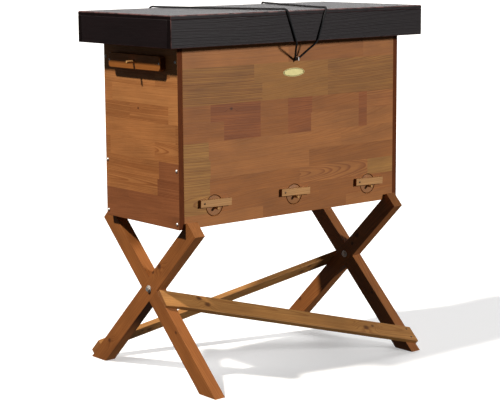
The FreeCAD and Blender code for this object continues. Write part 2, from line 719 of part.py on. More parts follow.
def make_cord():
    """The stretched elastic and the knot under each eye."""
    route = cord_route()
    edge = value["roof_round"] + value["cord_round"] / 2 + value["cord_gap"]
    radii = [edge] * 4 + [bight_radius()] + [edge] * 4
    solid, length, used = tube(route, radii, value["cord_round"])
    section = math.pi * value["cord_round"] ** 2 / 4
    print("cord length %.1f mm, radii %s" % (length, ", ".join("%.1f" % r for r in used)))
    print("cord volume over section x length: %.4f" % (solid.Volume / (section * length)))
    print("cord corners:", [tuple(round(c, 1) for c in point) for point in route])
    if abs(solid.Volume / (section * length) - 1) > 0.01:
        raise ValueError("the cord's tube folds over itself")
    cord = doc.addObject("Part::Feature", "elastic_cord")
    cord.Shape = solid
    keep(cord, "elastic_cord")
    knots = []
    for end, inner in ((route[0], route[1]), (route[-1], route[-2])):
        aim = (end - inner).normalize()
        radius = value["knot_round"] / 2
        # A flat where the elastic enters, so that the two meet face to face.
        ball = Part.makeSphere(radius, V(0, 0, 0))
        flat = math.sqrt(radius ** 2 - (value["cord_round"] / 2 + value["knot_lip"]) ** 2)
        slab = Part.makeBox(4 * radius, 4 * radius, 2 * radius, V(-2 * radius, -2 * radius, flat))
        knot = ball.cut(slab)
        rotation = FreeCAD.Rotation(V(0, 0, -1), aim)
        knot.Placement = FreeCAD.Placement(end + aim * flat, rotation)
        knots.append(knot)
    group = doc.addObject("Part::Feature", "cord_knots")
    group.Shape = Part.makeCompound(knots)
    keep(group, "cord_knots")


def make_plate():
    """A plain oval plate on the front wall, held by two nails."""
    front = -half_depth
    z = base_z + value["plate_height"]
    oval = Part.Ellipse(V(0, 0, 0), value["plate_long"] / 2, value["plate_high"] / 2)
    face = Part.Face(Part.Wire(oval.toShape()))
    plate = doc.addObject("Part::Feature", "front_plate")
    plate.Shape = face.extrude(V(0, 0, value["plate_thick"]))
    plate.Placement = at(0, front, z, FreeCAD.Rotation(V(1, 0, 0), 90))
    keep(plate, "front_plate")
    radius = value["nail_head"] / 2
    shank, tail, dome = value["nail_round"] / 2, -value["nail_length"], value["nail_dome"]
    nail = turned([(0, tail), (shank, tail), (shank, 0), (radius, 0), (radius * 0.6, dome * 0.8), (0, dome)])
    outwards = FreeCAD.Rotation(V(0, 0, 1), V(0, -1, 0))
    reach = value["plate_long"] / 2 - value["nail_inset"]
    copies("plate_nails", nail, [at(sign * reach, front - value["plate_thick"], z, outwards)
                                 for sign in (-1, 1)])


make_walls()
make_bars()
make_roof()
make_stand()
make_rails()
make_bolts()
make_rail_screws(wood_screw(value["short_screw"], "small"))
make_panel_screws()
make_battens()
make_entrances()
make_hook()
make_eyes()
make_cord()
make_plate()
doc.recompute()

# ---------------------------------------------------------------- check and write
for thing in doc.Objects:
    if "Invalid" in thing.State or "Error" in thing.State:
        raise RuntimeError("failed: %s %s" % (thing.Label, thing.State))
os.makedirs("parts", exist_ok=True)
for node in nodes:
    shape = node.Shape
    if shape.isNull() or not shape.isValid() or not shape.Solids:
        raise RuntimeError("bad shape: " + node.Label)
    shape.exportStep("parts/%s.step" % node.Label)
print("%d nodes" % len(nodes))
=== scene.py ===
"""A top bar hive: dressed timber, dark telescoping roof, steel fastenings and an elastic hold-down."""
import logging
import math
import random
from dataclasses import dataclass, field
from enum import Enum
from typing import Iterable, Sequence

import bmesh
import bpy
from bmesh.types import BMFace, BMVert, BMesh
from bpy.types import ID, Material, Mesh, Node, NodeSocket, NodeTree, Object
from mathutils import Matrix, Vector


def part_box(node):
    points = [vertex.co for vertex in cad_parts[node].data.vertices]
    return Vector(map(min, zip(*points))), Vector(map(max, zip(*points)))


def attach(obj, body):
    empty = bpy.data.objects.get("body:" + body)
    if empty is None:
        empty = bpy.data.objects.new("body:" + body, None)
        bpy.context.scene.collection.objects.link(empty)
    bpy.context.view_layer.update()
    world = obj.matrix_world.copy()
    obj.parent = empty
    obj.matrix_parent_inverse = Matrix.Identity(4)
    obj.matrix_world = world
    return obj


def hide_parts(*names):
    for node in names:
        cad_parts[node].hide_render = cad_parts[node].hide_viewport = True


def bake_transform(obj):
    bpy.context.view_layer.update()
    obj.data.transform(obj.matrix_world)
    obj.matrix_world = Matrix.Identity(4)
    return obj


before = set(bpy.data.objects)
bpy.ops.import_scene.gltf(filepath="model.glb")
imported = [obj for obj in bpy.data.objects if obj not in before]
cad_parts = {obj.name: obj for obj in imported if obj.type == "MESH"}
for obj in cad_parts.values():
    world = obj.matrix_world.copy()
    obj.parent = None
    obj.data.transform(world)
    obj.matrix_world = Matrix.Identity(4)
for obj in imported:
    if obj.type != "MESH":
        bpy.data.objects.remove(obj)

logging.basicConfig(level=logging.INFO, format="%(message)s")
log = logging.getLogger("hive")

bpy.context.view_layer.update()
LEG_ANGLE = math.radians(44.3)
LEG_DEPTH = 0.053
WALL_FOOT = 0.463
WALL_TOP = 1.009
ALONG_X = Vector((1.0, 0.0, 0.0))
ALONG_Y = Vector((0.0, 1.0, 0.0))
ALONG_Z = Vector((0.0, 0.0, 1.0))

MIX = "ShaderNodeMix"
NOISE = "ShaderNodeTexNoise"
BUMP = "ShaderNodeBump"
RANGE = "ShaderNodeMapRange"
JOIN = "ShaderNodeCombineXYZ"
SPLIT = "ShaderNodeSeparateXYZ"
COORDS = "ShaderNodeTexCoord"
STRETCH_PLUS = "ShaderNodeVectorMath:MULTIPLY_ADD"
STRETCH = "ShaderNodeVectorMath:MULTIPLY"
TIMES_PLUS = "ShaderNodeMath:MULTIPLY_ADD"
PLUS = "ShaderNodeMath:ADD"
MINUS = "ShaderNodeMath:SUBTRACT"
TIMES = "ShaderNodeMath:MULTIPLY"
FRACTION = "ShaderNodeMath:FRACT"
GREATER = "ShaderNodeMath:MAXIMUM"
FACING = "ShaderNodeVectorMath:DOT_PRODUCT"
SIZE = "ShaderNodeMath:ABSOLUTE"
SCALE = "ShaderNodeVectorMath:SCALE"
ANGLE = "ShaderNodeMath:ARCTAN2"
SINE = "ShaderNodeMath:SINE"
LENGTH = "ShaderNodeVectorMath:LENGTH"
ATTRIBUTE = "ShaderNodeAttribute"


class Body(str, Enum):
    """The moving bodies that pieces ride on."""

    STAND = "stand"
    BOX = "hive_box"
    ROOF = "roof"


# ------------------------------------------------------------------ colour and nodes
def linear(colour: str) -> tuple[float, float, float, float]:
    """Turn an sRGB hex colour into linear light.

    Args:
        colour: six hex digits after a hash.

    Returns:
        Red, green, blue and alpha.
    """
    parts = [int(colour[i:i + 2], 16) / 255 for i in (1, 3, 5)]
    lit = [p / 12.92 if p <= 0.04045 else ((p + 0.055) / 1.055) ** 2.4 for p in parts]
    return (lit[0], lit[1], lit[2], 1.0)


def add(tree: NodeTree, kind: str, *values, **settings) -> Node:
    """Add one node with its settings and links.

    Args:
        tree: the node tree.
        kind: the node's type name, with its operation after a colon.
        values: a number, a colour, a socket or a node (for its first output) for each socket in turn, or a
            dict of these by the socket's index or name.
        settings: the node's own properties.

    Returns:
        The new node.
    """
    name, _, operation = kind.partition(":")
    node = tree.nodes.new(name)
    if operation:
        node.operation = operation
    for key, setting in settings.items():
        setattr(node, key, setting)
    for index, value in enumerate(values):
        for key, item in (value if isinstance(value, dict) else {index: value}).items():
            if isinstance(item, Node):
                item = item.outputs[0]
            if isinstance(item, NodeSocket):
                tree.links.new(item, node.inputs[key])
            else:
                node.inputs[key].default_value = item
    return node


def new_material(name: str) -> tuple[Material, NodeTree, Node]:
    """Make an empty Principled material.

    Args:
        name: the material's name.

    Returns:
        The material, its tree and its shader node.
    """
    material = bpy.data.materials.new(name)
    material.use_nodes = True
    tree = material.node_tree
    return material, tree, tree.nodes["Principled BSDF"]


# ------------------------------------------------------------------ finishes
class Tone(str, Enum):
    """The stain's colour on one length of timber, which takes it darker or redder than the next."""

    BROWN = "#9f6027"
    ORANGE = "#ab6b31"
    RED = "#9a5622"
    OLIVE = "#a16b2c"
    PALE = "#ac7838"
    HONEY = "#bf804a"
    AMBER = "#b07341"
    CHESTNUT = "#905733"
    FRAME = "#9a5f2f"
    RAIL = "#b07c42"
    PEG = "#c28e55"
    PLUG = "#a36c3c"
    BARE = "#d9bd90"
    EBONY = "#190e10"


@dataclass(frozen=True)
class Growth:
    """Where in the log a piece was sawn: the pith's depth behind the face and its height beside it."""

    depth: float = 0.06
    side: float = 0.05
    figure: float = 0.35


PLAIN = Growth()
STRAIGHT = Growth(depth=0.03, side=0.09, figure=0.5)
ARCHED = Growth(depth=0.016, side=0.004, figure=0.9)
WAVY = Growth(depth=0.012, side=0.046, figure=1.0)
SMUDGED = Growth(depth=0.03, side=0.07, figure=1.3)


@dataclass(frozen=True)
class Block:
    """One length of timber in a stave, up to its right-hand end."""

    end: float
    tone: Tone
    growth: Growth = PLAIN


@dataclass(frozen=True)
class Stave:
    """One row of a glued panel, up to its top edge."""

    top: float
    blocks: tuple[Block, ...]


def glued(top: float, *blocks: tuple) -> Stave:
    """Glue up a stave from blocks given as end, tone and, if not plain, growth."""
    return Stave(top, tuple(Block(*block) for block in blocks))


@dataclass(frozen=True)
class Knot:
    """A branch's stump: its place from the piece's middle, along and across the grain."""

    along: float
    across: float
    radius: float


@dataclass
class Sawn:
    """What one piece's wood is drawn from: distances from its middle, and what its faces say of the log."""

    tree: NodeTree
    grain: Vector
    face: Vector
    centre: Vector

    def __post_init__(self) -> None:
        """Lay the distances along, through and across, and read the stain and the growth."""
        self.coords = self.add(COORDS)
        turn = Matrix((self.grain, -self.face, self.grain.cross(-self.face)))
        place = self.add("ShaderNodeMapping", {
            "Vector": self.coords.outputs["Object"], "Rotation": turn.to_euler(),
            "Location": -(turn @ self.centre)})
        self.along, self.through, self.across = self.add(SPLIT, place).outputs
        log_place = self.add(ATTRIBUTE, attribute_name="growth").outputs["Vector"]
        self.depth, self.side, self.own = self.add(SPLIT, log_place).outputs
        self.stain = self.add(ATTRIBUTE, attribute_name="stain")
        self.spot = self.add(JOIN, self.along, self.through, self.across)
        shift = self.add(JOIN, self.own, self.own, self.own)
        self.apart = self.add(STRETCH_PLUS, shift, (7.0, 5.0, 3.0), self.spot)

    def add(self, kind: str, *values, **settings) -> Node:
        """Add one node to this wood's tree."""
        return add(self.tree, kind, *values, **settings)

    def clouds(self, place: Node, stretch: tuple[float, float, float], **look) -> Node:
        """Draw clouds that are this many to the metre along, through and across the grain."""
        spread = self.add(STRETCH, place, stretch)
        return self.add(NOISE, {"Vector": spread, "Scale": 1.0, **look})


@dataclass(frozen=True)
class Wood:
    """Planed softwood under stain: satin, with darker late wood and end grain that drank more."""

    name: str
    slot: str
    end: str
    ring: float = 0.0042
    rough: float = 0.5
    coat: float = 0.03
    relief: float = 0.3
    gloss: float = 0.42
    streak: float = 0.16
    worn: str | None = None
    heart: str = "#4a2410"
    late: tuple[float, float, float] = (0.62, 0.50, 0.40)

    def build(self, piece: str, grain: Vector, face: Vector, centre: Vector,
              knots: Sequence[Knot] = ()) -> Material:
        """Make this wood for one piece.

        Args:
            piece: the piece's name.
            grain: the direction of the grain.
            face: the direction that the best face looks in.
            centre: the piece's middle.
            knots: its knots.

        Returns:
            The material.
        """
        material, tree, shader = new_material(f"{self.name}_{piece}")
        sawn = Sawn(tree, grain, face, centre)
        lump, heart = self.knots(sawn, knots)
        late = self.rings(sawn, lump)
        colour, endness = self.end_grain(sawn, self.colour(sawn, late, heart))
        if self.worn is not None:
            colour = self.wear(sawn, colour)
        tree.links.new(colour, shader.inputs["Base Color"])
        self.finish(sawn, shader, endness, late)
        return material

    def knots(self, sawn: Sawn, knots: Sequence[Knot]) -> tuple[Node | None, Node | None]:
        """Place the knots.

        Args:
            sawn: the piece's wood.
            knots: the knots.

        Returns:
            The swelling that the rings flow round and the dark hearts, or None twice.
        """
        lump = heart = None
        for knot in knots:
            x = sawn.add(MINUS, sawn.along, knot.along)
            y = sawn.add(MINUS, sawn.across, knot.across)
            far, near = [sawn.add(LENGTH, sawn.add(JOIN, sawn.add(TIMES, x, squash), y)).outputs["Value"]
                         for squash in (0.45, 0.8)]
            swell = sawn.add(RANGE, far, 0.0, knot.radius * 3.2, knot.radius * 1.6, 0.0,
                             interpolation_type="SMOOTHERSTEP")
            dark = sawn.add(RANGE, near, knot.radius * 0.45, knot.radius * 1.15, 1.0, 0.0)
            lump = swell if lump is None else sawn.add(PLUS, lump, swell)
            heart = dark if heart is None else sawn.add(GREATER, heart, dark)
        return lump, heart

    def rings(self, sawn: Sawn, lump: Node | None) -> Node:
        """Draw the growth rings round a pith that lies behind the face and leans a little.

        Args:
            sawn: the piece's wood.
            lump: the swelling round knots.

        Returns:
            The late wood, from 0 to 1.
        """
        lean = sawn.add(TIMES_PLUS, sawn.own, 0.08, 0.03)
        drift = sawn.add(TIMES_PLUS, sawn.along, lean, sawn.depth)
        back = sawn.add(PLUS, sawn.through, drift)
        high = sawn.add(MINUS, sawn.across, sawn.side)
        bent = sawn.add(LENGTH, sawn.add(JOIN, high, back)).outputs["Value"]
        for scale, size in (((2.2, 9.0, 12.0), 0.016), ((11.0, 30.0, 42.0), 0.003)):
            wave = sawn.clouds(sawn.apart, scale, Detail=1.5)
            bent = sawn.add(TIMES_PLUS, wave, size, bent)
        if lump is not None:
            bent = sawn.add(PLUS, bent, lump)
        count = sawn.add(TIMES, bent, 1 / self.ring)
        uneven = sawn.add(NOISE, {"W": count, "Scale": 0.5, "Detail": 1.0}, noise_dimensions="1D")
        years = sawn.add(TIMES_PLUS, uneven, 2.2, count)
        phase = sawn.add(FRACTION, years)
        rise = sawn.add(RANGE, phase, 0.35, 0.88, 0.0, 1.0, interpolation_type="SMOOTHSTEP")
        fall = sawn.add(RANGE, phase, 0.9, 1.0, 1.0, 0.0)
        return sawn.add(TIMES, rise, fall)

    def colour(self, sawn: Sawn, late: Node, heart: Node | None) -> NodeSocket:
        """Lay the stain over rings, streaks and knots.

        Args:
            sawn: the piece's wood.
            late: the late wood.
            heart: the knots' hearts, or None.

        Returns:
            The surface colour.
        """
        stain, figure = sawn.stain.outputs["Color"], sawn.stain.outputs["Alpha"]
        dark = sawn.add(STRETCH, stain, self.late)
        depth = sawn.add(TIMES, late, figure)
        # Broad streaks follow the grain; a stave never takes stain evenly.
        flow = sawn.clouds(sawn.apart, (3.0, 40.0, 62.0), Detail=3.0, Distortion=0.4)
        soak = sawn.add(RANGE, flow, 0.45, 0.78, 0.0, 0.85)
        more = sawn.add(TIMES, soak, figure)
        amount = sawn.add(GREATER, depth, more)
        colour = sawn.add(MIX, {0: amount, 6: stain, 7: dark}, data_type="RGBA").outputs[2]
        if heart is not None:
            core = sawn.add(TIMES, heart, 0.8)
            colour = sawn.add(MIX, {0: core, 6: colour, 7: linear(self.heart)}, data_type="RGBA").outputs[2]
        # Fibres are a few hundredths of a millimetre wide; they are drawn coarser so that they show.
        fibre = sawn.clouds(sawn.apart, (10.0, 380.0, 380.0), Detail=3.0, Roughness=0.6)
        cloud = sawn.clouds(sawn.apart, (6.0, 16.0, 16.0), Detail=4.0, Roughness=0.6)
        half = self.streak / 2
        thread = sawn.add(RANGE, fibre, 0.3, 0.7, 1 - half, 1 + half)
        blotch = sawn.add(RANGE, cloud, 0.3, 0.7, 1 - self.streak, 1 + self.streak)
        shade = sawn.add(TIMES, thread, blotch)
        return sawn.add(SCALE, colour, {"Scale": shade}).outputs[0]

    def end_grain(self, sawn: Sawn,
                  colour: NodeSocket) -> tuple[NodeSocket, Node]:
        """Darken the sawn ends, which drink more stain.

        Args:
            sawn: the piece's wood.
            colour: the colour so far.

        Returns:
            The colour, and how far a spot faces along the grain.
        """
        facing = sawn.add(FACING, sawn.coords.outputs["Normal"], tuple(sawn.grain))
        size = sawn.add(SIZE, facing.outputs["Value"])
        endness = sawn.add(RANGE, size, 0.75, 0.97, 0.0, 1.0)
        mottle = sawn.clouds(sawn.spot, (60.0, 260.0, 45.0), Detail=4.0, Roughness=0.7)
        shade = sawn.add(RANGE, mottle, 0.25, 0.75, 0.72, 1.28)
        soaked = sawn.add(SCALE, linear(self.end)[:3], {"Scale": shade})
        result = sawn.add(MIX, {0: endness, 6: colour, 7: soaked}, data_type="RGBA")
        return result.outputs[2], endness

    def wear(self, sawn: Sawn, colour: NodeSocket) -> NodeSocket:
        """Rub the stain off the eased edges.

        Args:
            sawn: the piece's wood.
            colour: the colour so far.

        Returns:
            The colour with worn edges.
        """
        edge = sawn.add(ATTRIBUTE, attribute_name="edge")
        patch = sawn.add(NOISE, {"Vector": sawn.coords.outputs["Object"], "Scale": 55.0, "Detail": 4.0})
        rub = sawn.add(RANGE, patch, 0.35, 0.6, 0.15, 0.9)
        amount = sawn.add(TIMES, edge.outputs["Fac"], rub)
        return sawn.add(MIX, {0: amount, 6: colour, 7: linear(self.worn)}, data_type="RGBA").outputs[2]

    def finish(self, sawn: Sawn, shader: Node, endness: Node,
               late: Node) -> None:
        """Set the sheen and the relief that planing and stain leave.

        Args:
            sawn: the piece's wood.
            shader: the Principled node.
            endness: how far a spot faces along the grain.
            late: the late wood.
        """
        pores = sawn.clouds(sawn.spot, (22.0, 800.0, 800.0), Detail=4.0, Roughness=0.65)
        dull = sawn.add(RANGE, pores, 0.3, 0.7, self.rough - 0.07, self.rough + 0.09)
        matt = sawn.add(TIMES_PLUS, endness, 0.18, dull)
        sheen = sawn.add(TIMES_PLUS, endness, -0.75 * self.gloss, self.gloss)
        height = sawn.add(TIMES_PLUS, late, 0.4, pores)
        bump = sawn.add(BUMP, {"Strength": self.relief, "Distance": 0.0006, "Height": height})
        for name, node in (("Roughness", matt), ("Specular IOR Level", sheen), ("Normal", bump)):
            sawn.tree.links.new(node.outputs[0], shader.inputs[name])
        shader.inputs["Coat Weight"].default_value = self.coat
        shader.inputs["Coat Roughness"].default_value = 0.3


@dataclass(frozen=True)
class Metal:
    """Plated or solid metal, with the fine tumbling marks of small ironmongery."""

    name: str
    colour: str
    rough: float = 0.28

    def build(self) -> Material:
        """Make this metal.

        Returns:
            The material.
        """
        material, tree, shader = new_material(self.name)
        coords = add(tree, COORDS)
        cloud = add(tree, NOISE, {"Vector": coords.outputs["Object"], "Scale": 420.0, "Detail": 3.0})
        shade = add(tree, RANGE, cloud, 0.3, 0.7, 0.82, 1.05)
        tint = add(tree, SCALE, linear(self.colour)[:3], {"Scale": shade})
        dull = add(tree, RANGE, cloud, 0.3, 0.7, self.rough + 0.1, self.rough - 0.06)
        scratch = add(tree, NOISE, {"Vector": coords.outputs["Object"], "Scale": 1900.0})
        relief = add(tree, BUMP, {"Strength": 0.12, "Distance": 0.0002, "Height": scratch})
        tree.links.new(tint.outputs[0], shader.inputs["Base Color"])
        tree.links.new(dull.outputs[0], shader.inputs["Roughness"])
        tree.links.new(relief.outputs[0], shader.inputs["Normal"])
        shader.inputs["Metallic"].default_value = 1.0
        return material


@dataclass(frozen=True)
class Enamel:
    """Stove enamel on thin sheet: even colour with a slight orange peel."""

    name: str
    colour: str
    rough: float = 0.3

    def build(self) -> Material:
        """Make this enamel.

        Returns:
            The material.
        """
        material, tree, shader = new_material(self.name)
        coords = add(tree, COORDS)
        cloud = add(tree, NOISE, {"Vector": coords.outputs["Object"], "Scale": 90.0, "Detail": 2.0})
        shade = add(tree, RANGE, cloud, 0.3, 0.7, 0.93, 1.05)
        tint = add(tree, SCALE, linear(self.colour)[:3], {"Scale": shade})
        peel = add(tree, NOISE, {"Vector": coords.outputs["Object"], "Scale": 700.0})
        relief = add(tree, BUMP, {"Strength": 0.1, "Distance": 0.0002, "Height": peel})
        tree.links.new(tint.outputs[0], shader.inputs["Base Color"])
        tree.links.new(relief.outputs[0], shader.inputs["Normal"])
        shader.inputs["Roughness"].default_value = self.rough
        return material


@dataclass(frozen=True)
class Braid:
    """A woven sleeve over rubber: two sets of yarn that cross on the cord's surface."""

    name: str
    colour: str
    glint: str
    yarn: float = 0.0022

    def build(self) -> Material:
        """Make this sleeve from the cord's own distance along and angle round.

        Returns:
            The material.
        """
        material, tree, shader = new_material(self.name)
        place = add(tree, ATTRIBUTE, attribute_name="place")
        axes = add(tree, SPLIT, place.outputs["Vector"])
        turn = add(tree, ANGLE, axes.outputs[1], axes.outputs[0])
        pitch = add(tree, TIMES, axes.outputs[2], 1 / self.yarn)
        wraps = add(tree, TIMES, turn, 4.0 / math.tau)
        waves = []
        for way in (PLUS, MINUS):
            path = add(tree, way, pitch, wraps)
            angle = add(tree, TIMES, path, math.tau)
            waves.append(add(tree, SINE, angle))
        weave = add(tree, TIMES, waves[0], waves[1])
        height = add(tree, RANGE, weave, -1.0, 1.0, 0.0, 1.0)
        colour = add(tree, MIX, {0: height, 6: linear(self.colour), 7: linear(self.glint)},
                     data_type="RGBA")
        relief = add(tree, BUMP, {"Strength": 0.5, "Distance": 0.0005, "Height": height})
        tree.links.new(colour.outputs[2], shader.inputs["Base Color"])
        tree.links.new(relief.outputs[0], shader.inputs["Normal"])
        shader.inputs["Roughness"].default_value = 0.8
        return material


# Glued pine panel, brushed with brown stain: each block of a stave took it its own way.
PANEL = Wood("stained_panel", "stained_pine_panel", end="#643011")
# Planed pine battens in the same stain: long clear grain, and a paler sawn end.
FRAME = Wood("stained_stand", "stained_pine_frame", end="#8a5730")
# The rails' sapwood took the stain unevenly, so its streaks are stronger.
RAIL = Wood("stained_rail", "stained_pine_frame", end="#8d5a34", streak=0.2)
# The latch bars are close-ringed pine with a thinner coat of stain.
PALE = Wood("pale_wood", "pale_pine", end="#8a5730", ring=0.003)
# Bought dowel: its sawn end was left light.
DOWEL = Wood("dowel_wood", "pale_pine", end="#c8985c", ring=0.003)
# Discs turned from the panel's offcuts.
PLUG = Wood("plug_wood", "stained_plug", end="#8f6240", ring=0.0032)
# Planed pine that was never stained: matt, and low in contrast.
BARE = Wood("bare_wood", "bare_pine", end="#b08a5c", coat=0.0, rough=0.6, late=(0.8, 0.68, 0.55))
# Pine under brown-black stain: grain shows as relief, and handling shows red-brown on the edges.
DARK = Wood("roof_wood", "dark_stained_wood", end="#140c0d", rough=0.46, coat=0.0, relief=0.5, gloss=0.3,
            worn="#6f4b48", late=(0.6, 0.6, 0.62))
# Zinc-plated steel, tumbled: bright but soft, with faint clouds a couple of millimetres across.
ZINC = Metal("bright_zinc", "#f4f2ee", rough=0.5)
# Yellow-passivated steel that has dulled to bronze.
BRONZED = Metal("bronzed_steel", "#6f5a48", rough=0.45)
# Brass pins, polished by the hammer.
BRASS = Metal("brass", "#b8924a", rough=0.3)
# Stoved enamel on tinplate: even cream colour with an olive line.
CREAM = Enamel("cream_enamel", "#fff0a8")
OLIVE = Enamel("olive_enamel", "#6e6330")
# Braided polyester over rubber: matt black; the yarn is under a millimetre wide and is drawn coarser.
ELASTIC = Braid("elastic_sleeve", "#080809", "#1a1a1d")


# ------------------------------------------------------------------ mesh work
def node_mesh(node: str) -> BMesh:
    """Copy a design node's mesh, with its loose triangles merged into clean faces.

    Args:
        node: the node's name.

    Returns:
        A new bmesh, which the caller frees.
    """
    mesh = bmesh.new()
    mesh.from_mesh(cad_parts[node].data)
    bmesh.ops.remove_doubles(mesh, verts=mesh.verts, dist=1e-6)
    bmesh.ops.dissolve_limit(mesh, angle_limit=math.radians(0.6), verts=mesh.verts, edges=mesh.edges)
    return mesh


def settle(mesh: BMesh, name: str) -> Mesh:
    """Turn a bmesh, freed here, into mesh data of this name."""
    data = bpy.data.meshes.new(name)
    mesh.to_mesh(data)
    mesh.free()
    return data


def link(name: str, data: ID) -> Object:
    """Make an object of some data and link it to the scene."""
    thing = bpy.data.objects.new(name, data)
    bpy.context.scene.collection.objects.link(thing)
    return thing


def show(mesh: BMesh, name: str, material: Material, body: str | None, slot: str, *nodes: str) -> Object:
    """Turn a bmesh into a piece that rides on a body.

    Args:
        mesh: the shape, freed here.
        name: the piece's name.
        material: its finish.
        body: the body it rides on, or None for a piece that rides on no body.
        slot: the design's name for its finish; not used.
        nodes: the design nodes that it stands in for.

    Returns:
        The new object, at the origin.
    """
    piece = link(name, settle(mesh, name))
    piece.data.materials.append(material)
    if body is not None:
        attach(piece, body)
    if nodes:
        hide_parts(*nodes)
    log.info("%s: %d faces", name, len(piece.data.polygons))
    return piece


def ease_edges(mesh: BMesh, width: float, segments: int = 2, sharper: float = 28.0) -> None:
    """Round every sharp edge and mark the rounding in the attribute "edge".

    Args:
        mesh: the shape.
        width: the rounding's width in metres.
        segments: how many faces span it.
        sharper: only edges that turn more than this many degrees.
    """
    limit = math.radians(sharper)
    sharp = [edge for edge in mesh.edges if edge.is_manifold and edge.calc_face_angle() > limit]
    made = bmesh.ops.bevel(mesh, geom=sharp, offset=width, offset_type="OFFSET", affect="EDGES",
                           segments=segments, profile=0.5, material=-1, clamp_overlap=True)
    layer = mesh.loops.layers.float_color.new("edge")
    for face in mesh.faces:
        for loop in face.loops:
            loop[layer] = (0.0, 0.0, 0.0, 1.0)
    for face in made["faces"]:
        face.smooth = True
        for loop in face.loops:
            loop[layer] = (1.0, 1.0, 1.0, 1.0)


def wear_outer_edges(mesh: BMesh, low: Vector, high: Vector, joint: float = 0.0,
                     reach: float = 0.0035) -> None:
    """Keep the attribute "edge" for an assembly's own edges, where hands and weather reach.

    Args:
        mesh: the piece.
        low: the assembly's lowest corner.
        high: its highest corner.
        joint: how worn a rounding is that lies in only one of its sides, as at a joint.
        reach: how near to a side a rounding has to be.
    """
    layer = mesh.loops.layers.float_color["edge"]
    for face in mesh.faces:
        middle = face.calc_center_median()
        near = sum(min(middle[i] - low[i], high[i] - middle[i]) < reach for i in range(3))
        amount = 1.0 if near > 1 else joint * near * face.loops[0][layer][0]
        for loop in face.loops:
            loop[layer] = (amount, amount, amount, 1.0)


def smooth_round(mesh: BMesh, sharper: float = 35.0) -> None:
    """Shade faces that meet at a gentle angle as one curved surface.

    Args:
        mesh: the shape.
        sharper: edges that turn more than this many degrees stay crisp.
    """
    limit = math.radians(sharper)
    for edge in mesh.edges:
        edge.smooth = not edge.is_manifold or edge.calc_face_angle() < limit
    for face in mesh.faces:
        face.smooth = any(edge.is_manifold and 1e-3 < edge.calc_face_angle() < limit for edge in face.edges)


def sweep(points: Sequence[Vector], radius: float, sides: int = 14) -> BMesh:
    """Extrude a circle along points, and store the angle's cosine and sine and the distance in "place".

    Args:
        points: the centreline.
        radius: the tube's radius.
        sides: faces round it.

    Returns:
        A closed tube.
    """
    mesh = bmesh.new()
    layer = mesh.verts.layers.float_vector.new("place")
    side = (points[1] - points[0]).orthogonal()
    travelled = 0.0
    joined = []
    for index, point in enumerate(points):
        before, after = points[max(index - 1, 0)], points[min(index + 1, len(points) - 1)]
        travelled += (point - before).length
        heading = (after - before).normalized()
        side = (side - heading * side.dot(heading)).normalized()
        turn = Matrix((side, heading.cross(side), heading)).transposed()
        ring = bmesh.ops.create_circle(mesh, segments=sides, radius=radius,
                                       matrix=Matrix.Translation(point) @ turn.to_4x4())["verts"]
        for vert in ring:
            cosine, sine, _ = turn.transposed() @ (vert.co - point) / radius
            vert[layer] = (cosine, sine, travelled)
        edges = list({edge for vert in ring for edge in vert.link_edges})
        if joined:
            bmesh.ops.bridge_loops(mesh, edges=joined + edges)
        joined = edges
    boundary = [edge for edge in mesh.edges if edge.is_boundary]
    bmesh.ops.holes_fill(mesh, edges=boundary, sides=sides)
    bmesh.ops.recalc_face_normals(mesh, faces=mesh.faces)
    for face in mesh.faces:
        face.smooth = len(face.verts) == 4
    return mesh


def islands(mesh: BMesh) -> list[list[Vector]]:
    """Split a mesh into its separate shells.

    Args:
        mesh: the shape.

    Returns:
        The points of each shell.
    """
    left = set(mesh.verts)
    found = []
    while left:
        queue = [left.pop()]
        shell = []
        while queue:
            vert = queue.pop()
            shell.append(vert.co.copy())
            for edge in vert.link_edges:
                other = edge.other_vert(vert)
                if other in left:
                    left.remove(other)
                    queue.append(other)
        found.append(shell)
    return sorted(found, key=lambda points: tuple(round(x, 4) for x in sum(points, Vector()) / len(points)))


# ------------------------------------------------------------------ timber
FRONT_STAVES = (
    glued(0.499, (-0.12, Tone.ORANGE), (0.21, Tone.BROWN), (1.0, Tone.ORANGE)),
    glued(0.550, (-0.305, Tone.PALE, ARCHED), (0.10, Tone.BROWN), (1.0, Tone.BROWN, STRAIGHT)),
    glued(0.598, (-0.315, Tone.PALE, WAVY), (0.022, Tone.BROWN), (0.30, Tone.ORANGE, ARCHED),
          (1.0, Tone.PALE, STRAIGHT)),
    glued(0.649, (-0.312, Tone.PALE, SMUDGED), (0.06, Tone.ORANGE), (1.0, Tone.BROWN)),
    glued(0.702, (-0.318, Tone.PALE, WAVY), (0.19, Tone.ORANGE), (1.0, Tone.ORANGE)),
    glued(0.757, (-0.262, Tone.BROWN, STRAIGHT), (-0.127, Tone.RED, WAVY), (-0.022, Tone.BROWN),
          (0.068, Tone.RED), (0.262, Tone.ORANGE), (0.296, Tone.RED), (1.0, Tone.ORANGE)),
    glued(0.806, (-0.31, Tone.BROWN, STRAIGHT), (-0.127, Tone.RED, WAVY), (-0.022, Tone.BROWN),
          (0.072, Tone.RED, ARCHED), (0.262, Tone.BROWN), (0.296, Tone.RED), (1.0, Tone.ORANGE, WAVY)),
    glued(0.859, (-0.12, Tone.OLIVE, SMUDGED), (0.135, Tone.OLIVE), (1.0, Tone.OLIVE, WAVY)),
    glued(0.912, (-0.15, Tone.OLIVE, SMUDGED), (0.135, Tone.OLIVE), (1.0, Tone.OLIVE, WAVY)),
    glued(1.032, (-0.02, Tone.ORANGE), (0.28, Tone.BROWN), (1.0, Tone.ORANGE)),
)

MIXED = (Tone.BROWN, Tone.ORANGE, Tone.ORANGE, Tone.BROWN, Tone.RED, Tone.OLIVE)
END_BANDS = ((Tone.CHESTNUT,), (Tone.CHESTNUT, Tone.AMBER), (Tone.AMBER,), (Tone.AMBER, Tone.HONEY),
             (Tone.HONEY,))


